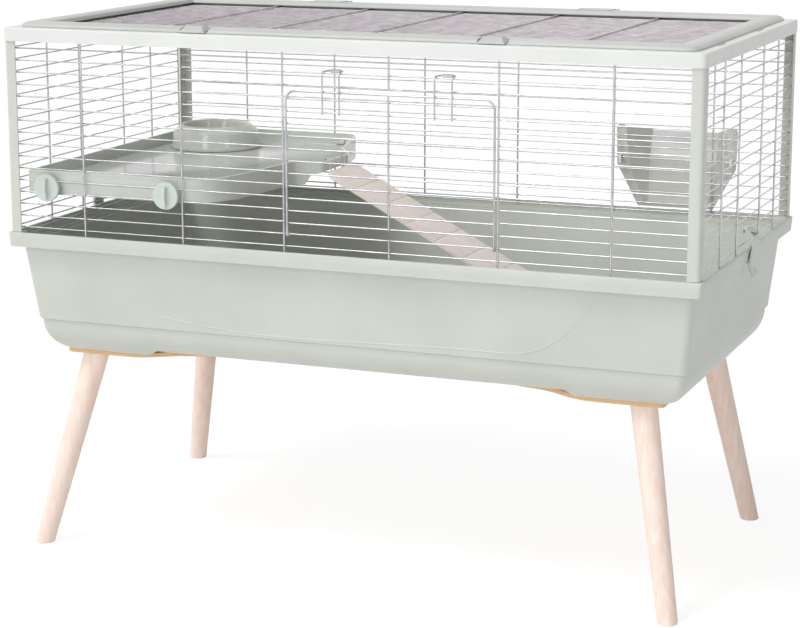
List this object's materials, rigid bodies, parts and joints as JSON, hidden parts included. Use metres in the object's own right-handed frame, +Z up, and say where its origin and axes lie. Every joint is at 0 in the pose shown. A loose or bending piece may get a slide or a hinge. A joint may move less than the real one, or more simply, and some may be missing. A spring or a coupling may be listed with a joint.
{
  "type": "small animal cage",
  "caption": "Small-animal cage: deep plastic tray on splayed wooden legs, wire walls with fold-down door, hinged wire roof, shelf, bowl, ramp and hay rack.",
  "frame": {"origin": "on the floor, under the middle of the tray", "axes": "+X along the cage's length to its right end as seen from the door side, +Y to the back, +Z up"},
  "size_m": [1.0116, 0.597, 0.7541],
  "materials": {
    "sage_plastic": "moulded, faint grain, satin",
    "pale_plastic": "moulded, smooth",
    "gloss_plastic": "moulded, glossy",
    "rack_plastic": "moulded, glossy",
    "white_plastic": "moulded, satin",
    "wire": "light grey coat on steel wire",
    "screw_steel": "plain zinc plated steel",
    "beech": "turned, clear matt lacquer",
    "plywood": "sanded plywood"
  },
  "bodies": {
    "base": {"tray": "sage_plastic", "leg_board_left": "plywood", "leg_board_right": "plywood", "leg_front_left": "beech", "leg_front_right": "beech", "leg_back_left": "beech", "leg_back_right": "beech", "leg_screw_front_left": "screw_steel", "leg_screw_front_right": "screw_steel", "leg_screw_back_left": "screw_steel", "leg_screw_back_right": "screw_steel", "board_screw_1": "screw_steel", "board_screw_2": "screw_steel", "board_screw_3": "screw_steel", "board_screw_4": "screw_steel"},
    "enclosure": {"post_front_left": "sage_plastic", "post_front_right": "sage_plastic", "post_back_left": "sage_plastic", "post_back_right": "sage_plastic", "wire_panel_front": "wire", "wire_panel_back": "wire", "wire_panel_left": "wire", "wire_panel_right": "wire", "top_frame": "pale_plastic", "shelf": "gloss_plastic", "lid_hinge_pin_left": "screw_steel", "lid_hinge_pin_right": "screw_steel"},
    "lid": {"lid_frame": "sage_plastic", "lid_grid": "wire", "lid_hinge_left": "sage_plastic", "lid_hinge_right": "sage_plastic"},
    "door": {"door": "wire"},
    "bowl": {"bowl": "gloss_plastic"},
    "ramp": {"ramp": "beech", "ramp_hook_front": "wire", "ramp_hook_back": "wire"},
    "hay_rack": {"hay_rack": "rack_plastic", "hay_rack_window": "white_plastic", "hay_rack_hook_left": "white_plastic", "hay_rack_hook_right": "white_plastic"},
    "lid_tab_left": {"lid_tab_left": "sage_plastic"},
    "door_latch_left": {"door_latch_left": "wire", "door_latch_grip_left": "pale_plastic"},
    "tray_clip_left": {"tray_clip_left": "sage_plastic"},
    "shelf_knob_left": {"shelf_knob_left": "pale_plastic"},
    "lid_tab_right": {"lid_tab_right": "sage_plastic"},
    "door_latch_right": {"door_latch_right": "wire", "door_latch_grip_right": "pale_plastic"},
    "tray_clip_right": {"tray_clip_right": "sage_plastic"},
    "shelf_knob_right": {"shelf_knob_right": "pale_plastic"}
  },
  "joints": [
    {"name": "enclosure_lift", "type": "slide", "parent": "base", "child": "enclosure", "axis": [0, 0, 1], "range_m": [0, 0.3]},
    {"name": "lid_hinge", "type": "hinge", "parent": "enclosure", "child": "lid", "pos_m": [0, 0.2586, 0.7483], "axis": [-1, 0, 0], "range_deg": [0, 110]},
    {"name": "door_hinge", "type": "hinge", "parent": "enclosure", "child": "door", "pos_m": [0.0755, -0.26022, 0.48305], "axis": [1, 0, 0], "range_deg": [0, 140]},
    {"name": "door_latch_left_flip", "type": "hinge", "parent": "enclosure", "child": "door_latch_left", "pos_m": [-0.0045, -0.26022, 0.6995], "axis": [-1, 0, 0], "range_deg": [0, 120]},
    {"name": "door_latch_right_flip", "type": "hinge", "parent": "enclosure", "child": "door_latch_right", "pos_m": [0.1525, -0.26022, 0.6995], "axis": [-1, 0, 0], "range_deg": [0, 120]},
    {"name": "lid_tab_left_slide", "type": "slide", "parent": "lid", "child": "lid_tab_left", "axis": [0, -1, 0], "range_m": [0, 0.005]},
    {"name": "lid_tab_right_slide", "type": "slide", "parent": "lid", "child": "lid_tab_right", "axis": [0, -1, 0], "range_m": [0, 0.005]},
    {"name": "tray_clip_left_swing", "type": "hinge", "parent": "enclosure", "child": "tray_clip_left", "pos_m": [-0.49089, 0, 0.48305], "axis": [0, 1, 0], "range_deg": [0, 70]},
    {"name": "tray_clip_right_swing", "type": "hinge", "parent": "enclosure", "child": "tray_clip_right", "pos_m": [0.49089, 0, 0.48305], "axis": [0, -1, 0], "range_deg": [0, 70]},
    {"name": "shelf_knob_left_turn", "type": "hinge", "parent": "enclosure", "child": "shelf_knob_left", "pos_m": [-0.434, -0.2565, 0.52468], "axis": [0, -1, 0], "range_deg": [0, 90]},
    {"name": "shelf_knob_right_turn", "type": "hinge", "parent": "enclosure", "child": "shelf_knob_right", "pos_m": [-0.249, -0.2565, 0.52468], "axis": [0, -1, 0], "range_deg": [0, 90]},
    {"name": "ramp_pivot", "type": "hinge", "parent": "enclosure", "child": "ramp", "pos_m": [-0.1135, -0.001, 0.546], "axis": [0, -1, 0], "range_deg": [0, 25]},
    {"name": "bowl_lift", "type": "slide", "parent": "enclosure", "child": "bowl", "axis": [0, 0, 1], "range_m": [0, 0.12]},
    {"name": "hay_rack_lift", "type": "slide", "parent": "enclosure", "child": "hay_rack", "axis": [0, 0, 1], "range_m": [0, 0.01]}
  ]
}
